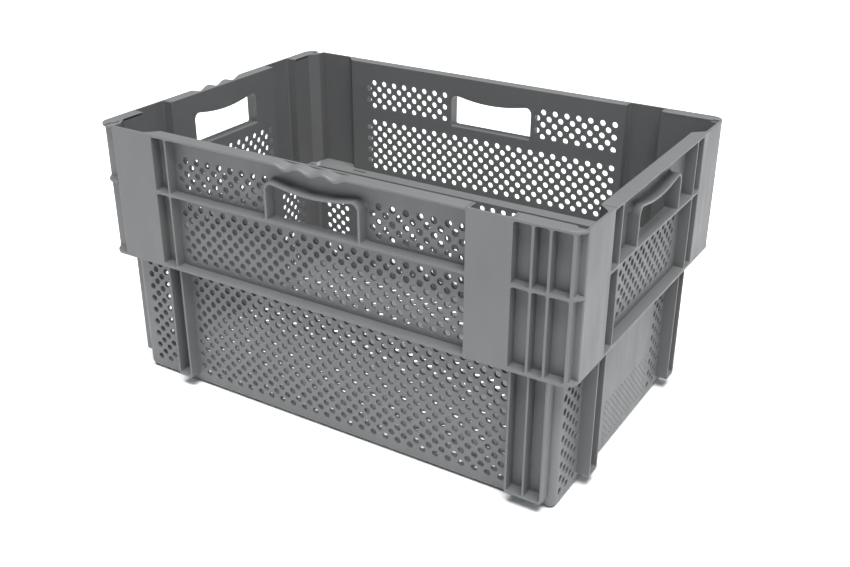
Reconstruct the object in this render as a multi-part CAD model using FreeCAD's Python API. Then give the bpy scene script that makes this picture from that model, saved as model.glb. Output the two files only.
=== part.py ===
import FreeCAD, Part
import math
import os

os.makedirs("parts", exist_ok=True)

Vector = FreeCAD.Vector

# ---------------------------------------------------------------- overall sizes
crate_length = 600.0
crate_width = 400.0
crate_height = 320.0
collar_height = 160.0
wall = 3.0
rib = 2.5

# ---------------------------------------------------------------- section sizes
# The collar is the wide upper half and the well is the narrower lower half.
collar_inset = 13.0
well_inset = 19.0
column_inset = 4.5
flange_thickness = 3.0
shelf_thickness = 3.5
shoulder_drop = 2.5
foot_lift = 13.0
mid_rib_drop = 69.5
outer_radius = 15.0
well_radius = 8.0

# ---------------------------------------------------------------- side layout
# Distances from the middle of a side, or from its end, to the edge of each plain plate.
left_plate_width = 83.0
fold_length = 12.5
fold_depth = 9.5
fold_flat = 10.0
right_plate_far = 119.0
right_plate_near = 69.5
rib_spacing = 20.0
pocket_width = 21.0
near_end_plate = 73.5
far_end_plate_outer = 54.0
far_end_plate_inner = 106.0
front_corner_ribs = (18.9, 36.8, 59.4)
slant_length = 12.0
slant_thickness = 4.2

# ---------------------------------------------------------------- handles
handle_half = 58.0
handle_rise = 41.5
handle_sag = 6.0
handle_corner = 8.0
scoop_pitch = 31.0
scoop_count = 3
scoop_depth = 4.5

# ---------------------------------------------------------------- perforations
hole_radius = 3.75
hole_step = 8.0
well_row_step = 8.13
hole_edge = 0.8
floor_hole_radius = 5.0
floor_hole_step = 12.0

# One hole of each field is placed, and the rest of its lattice follows from it.
long_side_hole_gap = 9.7
upper_row_drop = 27.0
mid_row_drop = 82.6
well_row_lift = 5.4
right_end_hole = 6.9
right_end_row_drop = 103.4
right_field_near = 70.0
right_field_far = 91.5
right_well_row_lift = 4.5
near_strip_gap = 20.6
far_strip_gap = 13.0
left_end_hole = 3.3
left_end_row_drop = 83.4
left_strip_gap = 20.7
left_strip_start = 86.0
left_strip_end = 136.0
left_well_row_lift = 9.6
label_length = 171.5

half_length = crate_length / 2
half_width = crate_width / 2
collar_bottom = crate_height - collar_height
rim_bottom = crate_height - flange_thickness
mid_rib_bottom = crate_height - mid_rib_drop
mid_rib_top = mid_rib_bottom + wall
split_height = mid_rib_bottom + wall / 2
shelf_top = collar_bottom + shelf_thickness
well_top = collar_bottom - shoulder_drop
foot_top = foot_lift + wall
shaft_top = collar_bottom

left_plate_edge = -half_length + left_plate_width
left_pocket_edge = left_plate_edge + pocket_width
right_plate_start = half_length - right_plate_far
right_plate_end = half_length - right_plate_near
near_plate_edge = half_width - near_end_plate
near_pocket_edge = near_plate_edge - pocket_width
far_plate_start = half_width - far_end_plate_inner
far_plate_end = half_width - far_end_plate_outer


def box(x0, x1, y0, y1, z0, z1):
    corner = Vector(min(x0, x1), min(y0, y1), z0)
    return Part.makeBox(abs(x1 - x0), abs(y1 - y0), z1 - z0, corner)


def fuse(shapes):
    whole = shapes[0]
    if len(shapes) > 1:
        whole = shapes[0].fuse(shapes[1:])
    return whole.removeSplitter()


def flip_front_to_back(shape):
    return shape.mirror(Vector(0, 0, 0), Vector(0, 1, 0))


def flip_right_to_left(shape):
    return shape.mirror(Vector(0, 0, 0), Vector(1, 0, 0))


def save(name, shape):
    if shape.ShapeType == "Compound" and len(shape.Solids) == 1:
        shape = shape.Solids[0]
    shape.exportStep("parts/" + name + ".step")


def save_front_and_back(name, shape):
    save("front_" + name, shape)
    save("back_" + name, flip_front_to_back(shape))


# ---------------------------------------------------------------- flat walls with round holes
def side_point(side, along, height, out):
    # Turns a place on a side wall into a point. "out" is the distance from the middle of the crate.
    if side == "front":
        return Vector(along, -out, height)
    if side == "right":
        return Vector(out, along, height)
    return Vector(-out, along, height)


def side_normal(side):
    if side == "front":
        return Vector(0, -1, 0)
    if side == "right":
        return Vector(1, 0, 0)
    return Vector(-1, 0, 0)


def staggered_holes(a0, a1, z0, z1, anchor_a, anchor_z, row_step=hole_step):
    # Every second place of a rectangular lattice, kept where the whole hole fits in the region.
    margin = hole_radius + hole_edge
    first_i = math.ceil((a0 + margin - anchor_a) / hole_step)
    last_i = math.floor((a1 - margin - anchor_a) / hole_step)
    first_j = math.ceil((z0 + margin - anchor_z) / row_step)
    last_j = math.floor((z1 - margin - anchor_z) / row_step)
    places = []
    for i in range(first_i, last_i + 1):
        for j in range(first_j, last_j + 1):
            if (i + j) % 2 == 0:
                places.append((anchor_a + i * hole_step, anchor_z + j * row_step))
    return places


def flat_wall(side, a0, a1, z0, z1, inner, holes):
    corners = [
        side_point(side, a0, z0, inner),
        side_point(side, a1, z0, inner),
        side_point(side, a1, z1, inner),
        side_point(side, a0, z1, inner),
        side_point(side, a0, z0, inner),
    ]
    wires = [Part.makePolygon(corners)]
    for along, height in holes:
        centre = side_point(side, along, height, inner)
        circle = Part.makeCircle(hole_radius, centre, side_normal(side))
        wires.append(Part.Wire([circle]))
    face = Part.Face(wires, "Part::FaceMakerBullseye")
    return face.extrude(side_normal(side) * wall)


def side_box(side, a0, a1, out0, out1, z0, z1):
    if side == "front":
        return box(a0, a1, -out1, -out0, z0, z1)
    if side == "right":
        return box(out0, out1, a0, a1, z0, z1)
    return box(-out1, -out0, a0, a1, z0, z1)


def side_reach(side):
    if side == "front":
        return half_width
    return half_length


# ---------------------------------------------------------------- rounded outlines
def rounded_face(half_x, half_y, radius, height):
    straight_x = half_x - radius
    straight_y = half_y - radius
    bevel = radius * math.sqrt(0.5)
    edges = []
    corner_signs = [(1, 1), (-1, 1), (-1, -1), (1, -1)]
    starts = []
    ends = []
    for index, (sx, sy) in enumerate(corner_signs):
        on_y_side = Vector(sx * straight_x, sy * half_y, height)
        on_x_side = Vector(sx * half_x, sy * straight_y, height)
        middle = Vector(sx * (straight_x + bevel), sy * (straight_y + bevel), height)
        if index % 2 == 0:
            starts.append(on_x_side)
            ends.append(on_y_side)
            edges.append(Part.Arc(on_x_side, middle, on_y_side).toShape())
        else:
            starts.append(on_y_side)
            ends.append(on_x_side)
            edges.append(Part.Arc(on_y_side, middle, on_x_side).toShape())
    joined = []
    for index in range(4):
        joined.append(edges[index])
        joined.append(Part.makeLine(ends[index], starts[(index + 1) % 4]))
    return Part.Face(Part.Wire(joined))


def rounded_slab(half_x, half_y, radius, z0, z1):
    return rounded_face(half_x, half_y, radius, z0).extrude(Vector(0, 0, z1 - z0))


envelope = rounded_slab(half_length, half_width, outer_radius, 0, crate_height)

# ---------------------------------------------------------------- floor
floor_half_x = half_length - well_inset - wall
floor_half_y = half_width - well_inset - wall
floor_radius = well_radius - wall
floor = rounded_face(floor_half_x, floor_half_y, floor_radius, 0)
floor_wires = [floor.OuterWire]
columns_of_holes = int((floor_half_x - floor_hole_step) / floor_hole_step)
rows_of_holes = int((floor_half_y - floor_hole_step) / floor_hole_step)
for i in range(-columns_of_holes, columns_of_holes + 1):
    for j in range(-rows_of_holes, rows_of_holes + 1):
        if (i + j) % 2 == 0:
            centre = Vector(i * floor_hole_step, j * floor_hole_step, 0)
            circle = Part.makeCircle(floor_hole_radius, centre, Vector(0, 0, 1))
            floor_wires.append(Part.Wire([circle]))
floor_face = Part.Face(floor_wires, "Part::FaceMakerBullseye")
save("floor", floor_face.extrude(Vector(0, 0, wall)))

# ---------------------------------------------------------------- well walls
well_out = half_width - well_inset
well_end_out = half_length - well_inset
well_flat = half_length - well_inset - well_radius
well_end_flat = half_width - well_inset - well_radius
long_side_anchor = right_plate_start - long_side_hole_gap
lowest_row = foot_lift + well_row_lift
lowest_hole = foot_lift + hole_radius


def well_holes(a0, a1, anchor_a, anchor_z, row_step):
    places = staggered_holes(a0, a1, 0, well_top, anchor_a, anchor_z, row_step)
    return [place for place in places if place[1] > lowest_hole]


left_strip = well_holes(-well_flat, left_plate_edge, long_side_anchor, lowest_row, well_row_step)
main_field = well_holes(left_pocket_edge, right_plate_end, long_side_anchor, lowest_row, well_row_step)
front_well = flat_wall("front", -well_flat, well_flat, 0, well_top, well_out - wall, left_strip + main_field)
save_front_and_back("well_wall", front_well)

# The right end has a blank panel for a label, with a strip of holes on each side of it.
right_row = foot_lift + right_well_row_lift
near_anchor = -well_end_flat + near_strip_gap
far_anchor = near_pocket_edge - far_strip_gap
label_start = -near_pocket_edge
label_end = label_start + label_length
right_near_strip = well_holes(-well_end_flat, -near_plate_edge, near_anchor, right_row, hole_step)
right_far_inner = well_holes(label_end, near_pocket_edge, far_anchor, right_row, hole_step)
right_far_outer = well_holes(near_plate_edge, well_end_flat, far_anchor, right_row, hole_step)
right_before = flat_wall(
    "right", -well_end_flat, label_start, 0, well_top, well_end_out - wall, right_near_strip
)
right_after = flat_wall(
    "right", label_end, well_end_flat, 0, well_top, well_end_out - wall,
    right_far_outer + right_far_inner
)
save("right_near_well_wall", right_before)
save("right_far_well_wall", right_after)
save("right_label_panel", flat_wall("right", label_start, label_end, 0, well_top, well_end_out - wall, []))

left_column_start = far_plate_end + wall
left_column_end = left_column_start + pocket_width
left_row = foot_lift + left_well_row_lift
left_far_anchor = far_plate_start + left_strip_gap
left_far_strip = well_holes(left_strip_start, left_strip_end, left_far_anchor, left_row, hole_step)
left_near_strip = [(-along, height) for along, height in left_far_strip]
left_well = flat_wall(
    "left", -well_end_flat, well_end_flat, 0, well_top, well_end_out - wall,
    left_far_strip + left_near_strip
)
save("left_well_wall", left_well)

# ---------------------------------------------------------------- well corner posts
well_outer = rounded_slab(well_end_out, well_out, well_radius, 0, well_top)
well_inner = rounded_slab(floor_half_x, floor_half_y, floor_radius, -1, well_top + 1)
well_ring = well_outer.cut(well_inner)
corner_block = box(well_flat, well_end_out + 1, -well_out - 1, -well_end_flat, -1, well_top + 1)
right_post = well_ring.common(corner_block)
left_post = flip_right_to_left(right_post)
save_front_and_back("right_well_post", right_post)
save_front_and_back("left_well_post", left_post)


# ---------------------------------------------------------------- stacking columns
def stacking_column(side, first, last, rib_count):
    # Upright ribs on the well wall, closed at the bottom by a foot that stands on a rim.
    reach = side_reach(side)
    inner = reach - well_inset
    outer = reach - column_inset
    pieces = [side_box(side, first, last, inner, outer, foot_lift, foot_top)]
    pitch = (last - first - rib) / (rib_count - 1)
    for number in range(rib_count):
        start = first + number * pitch
        pieces.append(side_box(side, start, start + rib, inner, outer, foot_lift, shaft_top))
    return fuse(pieces)


save_front_and_back("left_column", stacking_column("front", left_plate_edge, left_pocket_edge, 2))
right_column_end = right_plate_end + 2 * rib_spacing + rib
save_front_and_back("right_column", stacking_column("front", right_plate_end, right_column_end, 3))
right_end_column = stacking_column("right", near_pocket_edge, near_plate_edge, 2)
save("right_far_column", right_end_column)
save("right_near_column", flip_front_to_back(right_end_column))
left_end_column = stacking_column("left", left_column_start, left_column_end, 2)
save("left_far_column", left_end_column)
save("left_near_column", flip_front_to_back(left_end_column))

# ---------------------------------------------------------------- shoulder between well and collar
collar_out = half_width - collar_inset
collar_end_out = half_length - collar_inset
shelf = rounded_slab(half_length, half_width, outer_radius, collar_bottom, shelf_top)
neck = rounded_slab(well_end_out, well_out, well_radius, well_top, collar_bottom)
lower_inside = rounded_face(floor_half_x, floor_half_y, floor_radius, well_top)
upper_half_x = collar_end_out - wall
upper_half_y = collar_out - wall
upper_radius = floor_radius + upper_half_x - floor_half_x
upper_inside = rounded_face(upper_half_x, upper_half_y, upper_radius, shelf_top)
slope = Part.makeLoft([lower_inside.OuterWire, upper_inside.OuterWire], True, True)
shoulder = fuse([shelf, neck]).cut(slope)
shoulder_split = floor_half_y
front_zone = box(-half_length, half_length, -half_width, -shoulder_split, 0, crate_height)
right_zone = box(0, half_length, -shoulder_split, shoulder_split, 0, crate_height)
right_shoulder = shoulder.common(right_zone)
save_front_and_back("shoulder", shoulder.common(front_zone))
save("right_shoulder", right_shoulder)
save("left_shoulder", flip_right_to_left(right_shoulder))

# ---------------------------------------------------------------- collar walls
handle_reach = handle_half + wall


def collar_grille(side, a0, a1, z0, z1, holes):
    inner = side_reach(side) - collar_inset - wall
    return flat_wall(side, a0, a1, z0, z1, inner, holes)


upper_low = split_height + wall
upper_high = rim_bottom - 2 * hole_step
lower_low = shelf_top + wall / 2
lower_high = split_height - hole_step
upper_row = crate_height - upper_row_drop
mid_row = crate_height - mid_row_drop
upper_right_holes = staggered_holes(
    handle_reach, right_plate_start, upper_low, upper_high, long_side_anchor, upper_row
)
upper_left_holes = staggered_holes(
    left_pocket_edge, -handle_reach, upper_low, upper_high, long_side_anchor, upper_row
)
mid_holes = staggered_holes(
    left_pocket_edge, right_plate_start, lower_low, lower_high, long_side_anchor, mid_row
)
upper_right = collar_grille(
    "front", handle_reach, right_plate_start, split_height, rim_bottom, upper_right_holes
)
upper_left = collar_grille(
    "front", left_plate_edge, -handle_reach, split_height, rim_bottom, upper_left_holes
)
mid_grille = collar_grille(
    "front", left_plate_edge, right_plate_start, shelf_top, split_height, mid_holes
)
save_front_and_back("collar_right_grille", upper_right)
save_front_and_back("collar_left_grille", upper_left)
save_front_and_back("collar_mid_grille", mid_grille)

right_end_row = crate_height - right_end_row_drop
right_end_holes = staggered_holes(
    -right_field_near, right_field_far, lower_low, lower_high, right_end_hole, right_end_row
)
left_end_row = crate_height - left_end_row_drop
left_end_holes = staggered_holes(
    -far_plate_start, far_plate_start, lower_low, lower_high, left_end_hole, left_end_row
)
right_mid = collar_grille(
    "right", -near_plate_edge, near_plate_edge, shelf_top, split_height, right_end_holes
)
left_mid = collar_grille(
    "left", -far_plate_start, far_plate_start, shelf_top, split_height, left_end_holes
)
save("right_collar_mid_grille", right_mid)
save("left_collar_mid_grille", left_mid)


# ---------------------------------------------------------------- handles
def handle_outline(side, out, spread):
    # The opening has a top edge that bows down in the middle. "spread" widens it for the lip.
    low = mid_rib_top - spread
    side_high = mid_rib_bottom + handle_rise - handle_corner + spread
    half = handle_half + spread
    top = mid_rib_bottom + handle_rise + wall + spread
    inner = half - handle_corner
    dip = top - handle_sag
    turn = handle_corner * (1 - math.sqrt(0.5))
    points = {
        "low_left": side_point(side, -half, low, out),
        "low_right": side_point(side, half, low, out),
        "side_right": side_point(side, half, side_high, out),
        "turn_right": side_point(side, half - turn, top - turn, out),
        "top_right": side_point(side, inner, top, out),
        "middle": side_point(side, 0, dip, out),
        "top_left": side_point(side, -inner, top, out),
        "turn_left": side_point(side, -half + turn, top - turn, out),
        "side_left": side_point(side, -half, side_high, out),
    }
    edges = [
        Part.makeLine(points["low_left"], points["low_right"]),
        Part.makeLine(points["low_right"], points["side_right"]),
        Part.Arc(points["side_right"], points["turn_right"], points["top_right"]).toShape(),
        Part.Arc(points["top_right"], points["middle"], points["top_left"]).toShape(),
        Part.Arc(points["top_left"], points["turn_left"], points["side_left"]).toShape(),
        Part.makeLine(points["side_left"], points["low_left"]),
    ]
    return Part.Face(Part.Wire(edges))


def handle(side, wall_half):
    reach = side_reach(side)
    collar_face = reach - collar_inset
    normal = side_normal(side)
    backing = side_box(side, -wall_half, wall_half, collar_face - wall, collar_face, split_height, rim_bottom)
    lip = handle_outline(side, collar_face, wall).extrude(normal * collar_inset)
    lip_zone = side_box(side, -wall_half, wall_half, collar_face, reach, mid_rib_top, rim_bottom)
    lip = lip.common(lip_zone)
    opening = handle_outline(side, collar_face - 2 * wall, 0).extrude(normal * (collar_inset + 4 * wall))
    return fuse([backing, lip]).cut(opening)


front_handle = handle("front", handle_reach)
save_front_and_back("handle", front_handle)
save("right_handle", handle("right", near_plate_edge))
save("left_handle", handle("left", far_plate_start))


# ---------------------------------------------------------------- ribs on the collar
def mid_rib(side, a0, a1):
    reach = side_reach(side)
    return side_box(side, a0, a1, reach - collar_inset, reach, mid_rib_bottom, mid_rib_top)


def pocket_rib(side, a0, a1, upright):
    # The slim upright beside a plate, with the short length of middle rib that joins them.
    reach = side_reach(side)
    inner = reach - collar_inset
    tall = side_box(side, upright, upright + rib, inner, reach, shelf_top, rim_bottom)
    return fuse([tall, mid_rib(side, a0, a1)])


save_front_and_back("mid_rib", mid_rib("front", left_pocket_edge, right_plate_start))
front_pocket = pocket_rib("front", left_plate_edge, left_pocket_edge, left_pocket_edge - rib)
save_front_and_back("pocket_rib", front_pocket)
save("right_mid_rib", mid_rib("right", -near_pocket_edge, near_pocket_edge))
right_pocket = pocket_rib("right", near_pocket_edge, near_plate_edge, near_pocket_edge)
save("right_far_pocket_rib", right_pocket)
save("right_near_pocket_rib", flip_front_to_back(right_pocket))
save("left_mid_rib", mid_rib("left", -far_plate_start, far_plate_start))


# ---------------------------------------------------------------- plain plates of the collar
def plan_prism(side, plan, z0, z1):
    # An upright prism from points given as (distance along the side, distance from the middle).
    corners = [side_point(side, along, z0, out) for along, out in plan]
    corners.append(corners[0])
    return Part.Face(Part.makePolygon(corners)).extrude(Vector(0, 0, z1 - z0))


def slanted_return(side, edge, toward):
    # The plate's end leans back to the set-back wall, and the rim above it is filled in.
    reach = side_reach(side)
    behind = reach - wall
    inner = reach - collar_inset - wall
    start = edge - toward * slant_length
    thick_start = start + toward * slant_thickness
    leaning = [(start, behind), (thick_start, behind), (edge, inner + wall), (edge, inner)]
    filled = [(start, behind), (edge, behind), (edge, inner)]
    return [
        plan_prism(side, leaning, shelf_top, crate_height),
        plan_prism(side, filled, rim_bottom, crate_height),
    ]


def plate(side, a0, a1, returns, slants):
    # A flat plate at the full size of the crate, with upright returns to the set-back walls.
    reach = side_reach(side)
    inner = reach - collar_inset - wall
    pieces = [side_box(side, a0, a1, reach - wall, reach, shelf_top, crate_height)]
    for start in returns:
        pieces.append(side_box(side, start, start + wall, inner, reach - wall, shelf_top, crate_height))
    for edge, toward in slants:
        pieces.extend(slanted_return(side, edge, toward))
    return fuse(pieces)


fold_out = half_length - collar_inset - fold_depth
left_wall_line = -fold_out
right_wall_line = half_width - collar_inset - wall
front_left_plate = plate("front", left_wall_line, left_plate_edge, [], [(left_plate_edge, 1)])
save_front_and_back("left_plate", front_left_plate)
right_returns = [right_plate_start, right_plate_end - wall]
save_front_and_back("right_plate", plate("front", right_plate_start, right_plate_end, right_returns, []))
right_end_plate = plate("right", near_plate_edge, right_wall_line, [], [(near_plate_edge, -1)])
save("right_far_plate", right_end_plate)
save("right_near_plate", flip_front_to_back(right_end_plate))
left_returns = [far_plate_start, far_plate_end - wall]
left_end_plate = plate("left", far_plate_start, far_plate_end, left_returns, [])
save("left_far_plate", left_end_plate)
save("left_near_plate", flip_front_to_back(left_end_plate))


# ---------------------------------------------------------------- ribbed corners of the collar
def ribbed_corner(side, start, end, ribs):
    # A set-back wall with upright ribs, a middle rib and a wide flange that rounds the corner.
    reach = side_reach(side)
    inner = reach - collar_inset - wall
    face = reach - collar_inset
    pieces = [side_box(side, start, end, inner, face, shelf_top, rim_bottom)]
    pieces.append(side_box(side, start, end, face, reach, mid_rib_bottom, mid_rib_top))
    pieces.append(side_box(side, start, end, inner, reach, rim_bottom, crate_height))
    for place in ribs:
        pieces.append(side_box(side, place, place + rib, face, reach, shelf_top, rim_bottom))
    return fuse(pieces).common(envelope)


front_right_ribs = [right_plate_end + distance for distance in front_corner_ribs]
front_right_corner = ribbed_corner("front", right_plate_end, half_length, front_right_ribs)
save_front_and_back("right_corner", front_right_corner)
left_rib_first = left_column_start + pocket_width - rib
left_rib_second = left_rib_first + pocket_width - rib


def folded_corner(start, end, ribs):
    # Like a ribbed corner, but its wall folds inward before it meets the front plate.
    reach = side_reach("left")
    inner = reach - collar_inset - wall
    face = reach - collar_inset
    plate_back = end - wall
    flat_start = plate_back - fold_flat
    turn = flat_start - fold_length
    folded = fold_out - wall
    inner_line = [(start, inner), (turn, inner), (flat_start, folded), (plate_back, folded)]
    half_wall = wall / 2
    outer_line = [(start, face), (turn + half_wall, face)]
    outer_line += [(flat_start + half_wall, fold_out), (plate_back, fold_out)]
    outside = [(end, fold_out), (end, reach), (start, reach)]
    pieces = [
        plan_prism("left", inner_line + outer_line[::-1], shelf_top, rim_bottom),
        plan_prism("left", inner_line + [(plate_back, fold_out)] + outside, rim_bottom, crate_height),
        plan_prism("left", outer_line + outside, mid_rib_bottom, mid_rib_top),
        side_box("left", ribs[0], ribs[0] + rib, face, reach, shelf_top, rim_bottom),
        side_box("left", ribs[1], ribs[1] + rib, fold_out, reach, shelf_top, rim_bottom),
    ]
    return fuse(pieces).common(envelope)


back_left_corner = folded_corner(far_plate_end, half_width, [left_rib_first, left_rib_second])
save("back_left_corner", back_left_corner)
save("front_left_corner", flip_front_to_back(back_left_corner))


# ---------------------------------------------------------------- rim flanges
def wave_edge(side, out):
    # One wavy strip outline at a distance from the middle, dipped for the finger scoops.
    half = scoop_pitch * scoop_count / 2
    depth = scoop_depth
    if out < side_reach(side):
        depth = 0.0
    steps = 8 * scoop_count
    top_points = []
    bottom_points = []
    for number in range(steps + 1):
        along = -half + number * 2 * half / steps
        turn = 2 * math.pi * (along + half) / scoop_pitch
        dip = depth * (1 - math.cos(turn)) / 2
        top_points.append(side_point(side, along, crate_height - dip, out))
        bottom_points.append(side_point(side, along, rim_bottom - dip, out))
    top_curve = Part.BSplineCurve()
    top_curve.interpolate(top_points)
    bottom_curve = Part.BSplineCurve()
    bottom_curve.interpolate(bottom_points[::-1])
    edges = [
        top_curve.toShape(),
        Part.makeLine(top_points[-1], bottom_points[-1]),
        bottom_curve.toShape(),
        Part.makeLine(bottom_points[0], top_points[0]),
    ]
    return Part.Wire(edges)


def flange(side, a0, a1, scooped):
    reach = side_reach(side)
    inner = reach - collar_inset - wall
    if not scooped:
        return side_box(side, a0, a1, inner, reach, rim_bottom, crate_height)
    half = scoop_pitch * scoop_count / 2
    face = reach - collar_inset
    pieces = [
        side_box(side, a0, -half, inner, reach, rim_bottom, crate_height),
        side_box(side, half, a1, inner, reach, rim_bottom, crate_height),
        side_box(side, -half, half, inner, face, rim_bottom, crate_height),
        Part.makeLoft([wave_edge(side, face), wave_edge(side, reach)], True, True),
    ]
    return fuse(pieces)


save("front_rim", flange("front", left_plate_edge, right_plate_start, True))
save("back_rim", flip_front_to_back(flange("front", left_plate_edge, right_plate_start, False)))
save("right_rim", flange("right", -near_plate_edge, near_plate_edge, False))
save("left_rim", flange("left", -far_plate_start, far_plate_start, True))
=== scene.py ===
import bpy
import bmesh
import math
from mathutils import Matrix, Vector
from mathutils.geometry import delaunay_2d_cdt


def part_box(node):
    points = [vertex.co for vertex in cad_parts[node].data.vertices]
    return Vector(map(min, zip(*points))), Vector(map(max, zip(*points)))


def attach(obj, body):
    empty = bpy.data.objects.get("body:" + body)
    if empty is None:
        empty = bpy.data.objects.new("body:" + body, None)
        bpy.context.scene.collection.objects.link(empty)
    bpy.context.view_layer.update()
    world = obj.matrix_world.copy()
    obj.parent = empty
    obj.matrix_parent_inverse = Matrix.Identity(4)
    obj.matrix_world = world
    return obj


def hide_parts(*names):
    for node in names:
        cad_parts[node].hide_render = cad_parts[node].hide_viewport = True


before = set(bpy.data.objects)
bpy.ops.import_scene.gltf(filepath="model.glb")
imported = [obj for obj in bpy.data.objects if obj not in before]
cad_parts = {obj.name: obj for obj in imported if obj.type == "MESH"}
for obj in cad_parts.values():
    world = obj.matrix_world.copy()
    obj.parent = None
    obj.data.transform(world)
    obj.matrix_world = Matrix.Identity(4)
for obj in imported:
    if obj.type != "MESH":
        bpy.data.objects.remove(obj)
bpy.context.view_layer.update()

mm = 0.001


def nodeBox(name):
    low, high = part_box(name)
    return [c / mm for c in low], [c / mm for c in high]


crateLow, crateHigh = nodeBox("front_right_corner")  # sizes of the crate from the CAD parts, in mm
halfLength = crateHigh[0]
halfWidth = -crateLow[1]
rimTop = nodeBox("front_left_plate")[1][2]
lengthExtra = halfLength - halfWidth
wellOut = -nodeBox("front_well_wall")[0][1]
wellIn = -nodeBox("front_well_wall")[1][1]
wellTop = nodeBox("front_well_wall")[1][2]
floorTop = nodeBox("floor")[1][2]
shelfTop = nodeBox("front_shoulder")[1][2]
columnLow, columnHigh = nodeBox("front_right_column")
shelfLow = columnHigh[2]
footLow = columnLow[2]
columnOut = -columnLow[1]
collarLow, collarHigh = nodeBox("front_collar_mid_grille")
collarOut = -collarLow[1]
collarIn = -collarHigh[1]
wall = collarOut - collarIn
ribLow, ribHigh = nodeBox("front_mid_rib")
midRibLow = ribLow[2]
midRibHigh = ribHigh[2]
splitHeight = collarHigh[2]
rimLow = rimTop - wall
plateIn = halfWidth - wall
leftPlateEnd = nodeBox("front_left_plate")[1][0]
rightPlateStart = nodeBox("front_right_plate")[0][0]
rightPlateEnd = nodeBox("front_right_plate")[1][0]
pocketRibEnd = nodeBox("front_pocket_rib")[1][0]
ribThick = 2.5
rightEndPlate = nodeBox("right_far_plate")[0][1]
rightPocketRib = nodeBox("right_far_pocket_rib")[0][1]
leftEndPlateStart = nodeBox("left_far_plate")[0][1]
leftEndPlateEnd = nodeBox("left_far_plate")[1][1]
handleHalf = nodeBox("front_handle")[1][0] - wall
setBack = 0.25  # how far the face of a rib stays inside the crate's box
cellGap = 0.12  # keeps the end of a pocket clear of the plate beside it
frameLap = 1.6  # how far a frame of ribs runs into the plates beside it
frameLow = shelfLow + 0.2
frameHigh = rimLow + 1.2
pocketLow = shelfTop + 0.1
pocketHigh = rimLow - 0.2


def reachOf(side):
    return halfWidth if side in ("front", "back") else halfLength


def extraOf(side):
    return 0 if side in ("front", "back") else lengthExtra


def at(side, along, height, out):  # a place on one side, from the middle of the crate
    if side == "front":
        return (along, -out, height)
    if side == "back":
        return (along, out, height)
    if side == "right":
        return (out, along, height)
    return (-out, along, height)


def area(loop):
    total = 0
    for k in range(len(loop)):
        total += loop[k - 1][0] * loop[k][1] - loop[k][0] * loop[k - 1][1]
    return total / 2


def turned(loop, left):
    return loop if (area(loop) > 0) == left else loop[::-1]


def inset(loop, distance):
    if not distance:
        return loop
    moved = []
    for k in range(len(loop)):
        before, here, after = loop[k - 1], loop[k], loop[(k + 1) % len(loop)]
        first = Vector((here[0] - before[0], here[1] - before[1])).normalized()
        second = Vector((after[0] - here[0], after[1] - here[1])).normalized()
        share = 1 + first.dot(second)
        shift = Vector((-first.y - second.y, first.x + second.x)) / max(share, 0.3)
        moved.append((here[0] + distance * shift.x, here[1] + distance * shift.y))
    return moved


def soft(corners, steps=4):  # rounds the corners (along, up, radius) of an outline
    loop = []
    for k in range(len(corners)):
        here = Vector(corners[k][:2])
        radius = corners[k][2]
        if radius <= 0:
            loop.append(tuple(here))
            continue
        back = (Vector(corners[k - 1][:2]) - here).normalized()
        on = (Vector(corners[(k + 1) % len(corners)][:2]) - here).normalized()
        half = back.angle(on) / 2
        middle = here + (back + on).normalized() * radius / math.sin(half)
        start = here + back * radius / math.tan(half) - middle
        end = here + on * radius / math.tan(half) - middle
        swing = start.angle_signed(end)
        for s in range(steps + 1):
            turn = -swing * s / steps
            c, n = math.cos(turn), math.sin(turn)
            loop.append((middle.x + start.x * c - start.y * n, middle.y + start.x * n + start.y * c))
    return loop


def softBox(a0, b0, a1, b1, radius):
    return soft([(a0, b0, radius), (a1, b0, radius), (a1, b1, radius), (a0, b1, radius)])


def finer(loop, low, high, step):  # more points on the long runs between two places
    dense = []
    for k in range(len(loop)):
        here, after = loop[k], loop[(k + 1) % len(loop)]
        dense.append(here)
        run = after[0] - here[0]
        if abs(run) <= step:
            continue
        cuts = []
        place = math.ceil(min(here[0], after[0]) / step) * step
        while place < max(here[0], after[0]):
            if low <= place <= high and min(abs(place - here[0]), abs(place - after[0])) > step / 4:
                cuts.append(place)
            place += step
        if run < 0:
            cuts.reverse()
        for place in cuts:
            dense.append((place, here[1] + (after[1] - here[1]) * (place - here[0]) / run))
    return dense


def roundLevels(low, high, lowEdge, highEdge, steps):
    levels = []
    for s in range(steps + 1 if lowEdge else 1):
        turn = math.pi / 2 * (s / steps if lowEdge else 1)
        levels.append((low + lowEdge * (1 - math.cos(turn)), lowEdge * (1 - math.sin(turn))))
    for s in range(steps + 1 if highEdge else 1):
        turn = math.pi / 2 * (1 - s / steps if highEdge else 1)
        levels.append((high - highEdge * (1 - math.cos(turn)), highEdge * (1 - math.sin(turn))))
    return levels


def inside(place, loop):
    found = False
    for k in range(len(loop)):
        (ax, ay), (bx, by) = loop[k - 1], loop[k]
        if (ay > place[1]) != (by > place[1]) and place[0] < ax + (bx - ax) * (place[1] - ay) / (by - ay):
            found = not found
    return found


def fill(loops):  # triangles over an outline, leaving its openings empty
    flat, edges = [], []
    for loop in loops:
        first = len(flat)
        flat += [Vector(p) for p in loop]
        edges += [(first + k, first + (k + 1) % len(loop)) for k in range(len(loop))]
    corners, _, triangles, sources, _, _ = delaunay_2d_cdt(flat, edges, [], 1, 0.00001)
    kept = []
    for three in triangles:
        middle = [sum(corners[k][axis] for k in three) / 3 for axis in (0, 1)]
        if inside(middle, loops[0]) and not any(inside(middle, hole) for hole in loops[1:]):
            kept.append(tuple(sources[k][0] for k in three))
    return kept


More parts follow.
